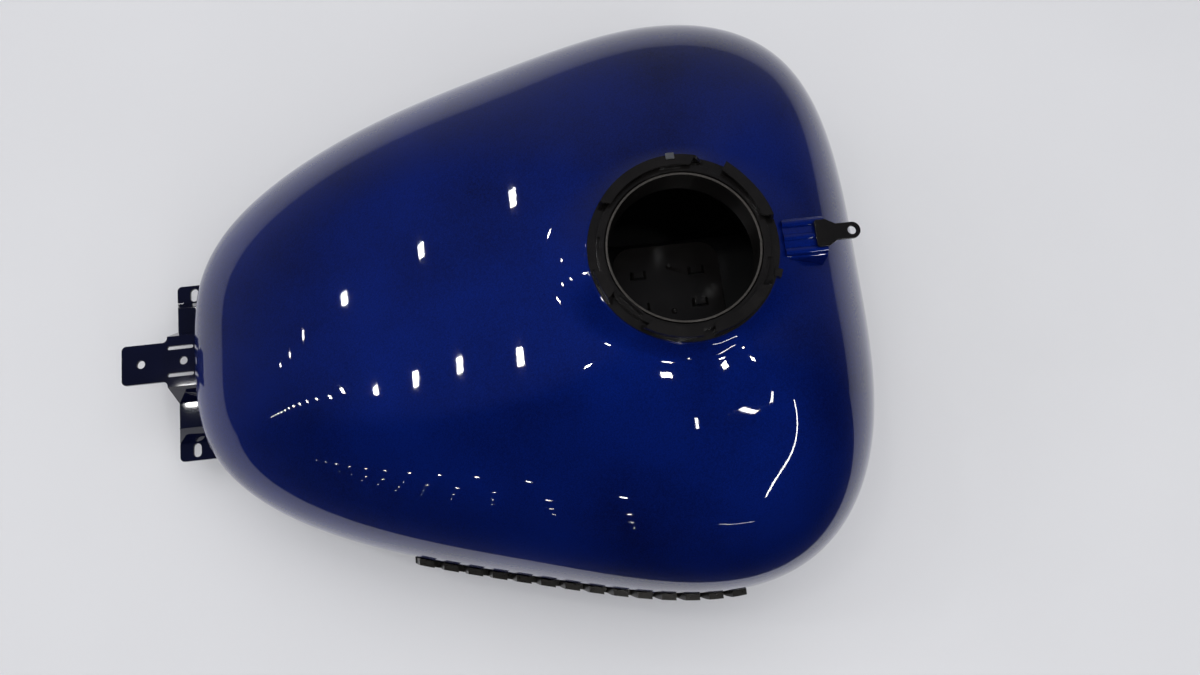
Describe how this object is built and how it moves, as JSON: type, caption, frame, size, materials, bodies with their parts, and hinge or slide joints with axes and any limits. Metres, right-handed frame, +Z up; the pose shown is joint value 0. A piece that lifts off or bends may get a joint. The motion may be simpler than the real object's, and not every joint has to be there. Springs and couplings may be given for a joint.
{
  "type": "motorcycle fuel tank",
  "caption": "Teardrop motorcycle fuel tank with a round top opening and hook ring, turning lock ring, frame tunnel, rear bracket, front mounts and raised side trim.",
  "frame": {"origin": "under the middle of the tank's box, on the plane of the bottom seam", "axes": "+X to the front (the wide end), +Y to the rider's left, +Z up"},
  "size_m": [0.629, 0.4918, 0.2669],
  "materials": {
    "tank_paint": "gloss pearl blue under clear coat",
    "neck_black": "satin black e-coat",
    "tab_grey": "bare zinc plated steel",
    "bracket_paint": "gloss black paint with blue overspray",
    "mount_rubber": "moulded black rubber",
    "sleeve_zinc": "turned zinc plated steel",
    "trim_black": "black die casting with rubbed light edges",
    "foam_tape": "black acrylic foam tape"
  },
  "bodies": {
    "tank": {"outer_shell": "tank_paint", "tunnel_pan": "tank_paint", "neck_ring": "neck_black", "hook_ring": "neck_black", "locator_tab": "tab_grey", "pump_foot_plate": "neck_black", "front_saddle": "tank_paint", "front_tab": "neck_black", "rear_bracket": "bracket_paint", "front_bracket_left": "tank_paint", "front_bracket_right": "tank_paint", "grommet_left": "mount_rubber", "grommet_right": "mount_rubber", "mount_sleeve_left": "sleeve_zinc", "mount_sleeve_right": "sleeve_zinc", "front_peg_left": "neck_black", "front_peg_right": "neck_black", "baffle_left": "tank_paint", "baffle_right": "tank_paint", "side_trim_left": "trim_black", "side_trim_right": "trim_black", "trim_tape_left": "foam_tape", "trim_tape_right": "foam_tape"},
    "lock": {"lock_ring": "neck_black"}
  },
  "joints": [
    {"name": "lock_ring_turn", "type": "hinge", "parent": "tank", "child": "lock", "pos_m": [0.1475, 0, 0.2579], "axis": [0, 0, 1], "range_deg": [-25, 0]}
  ]
}
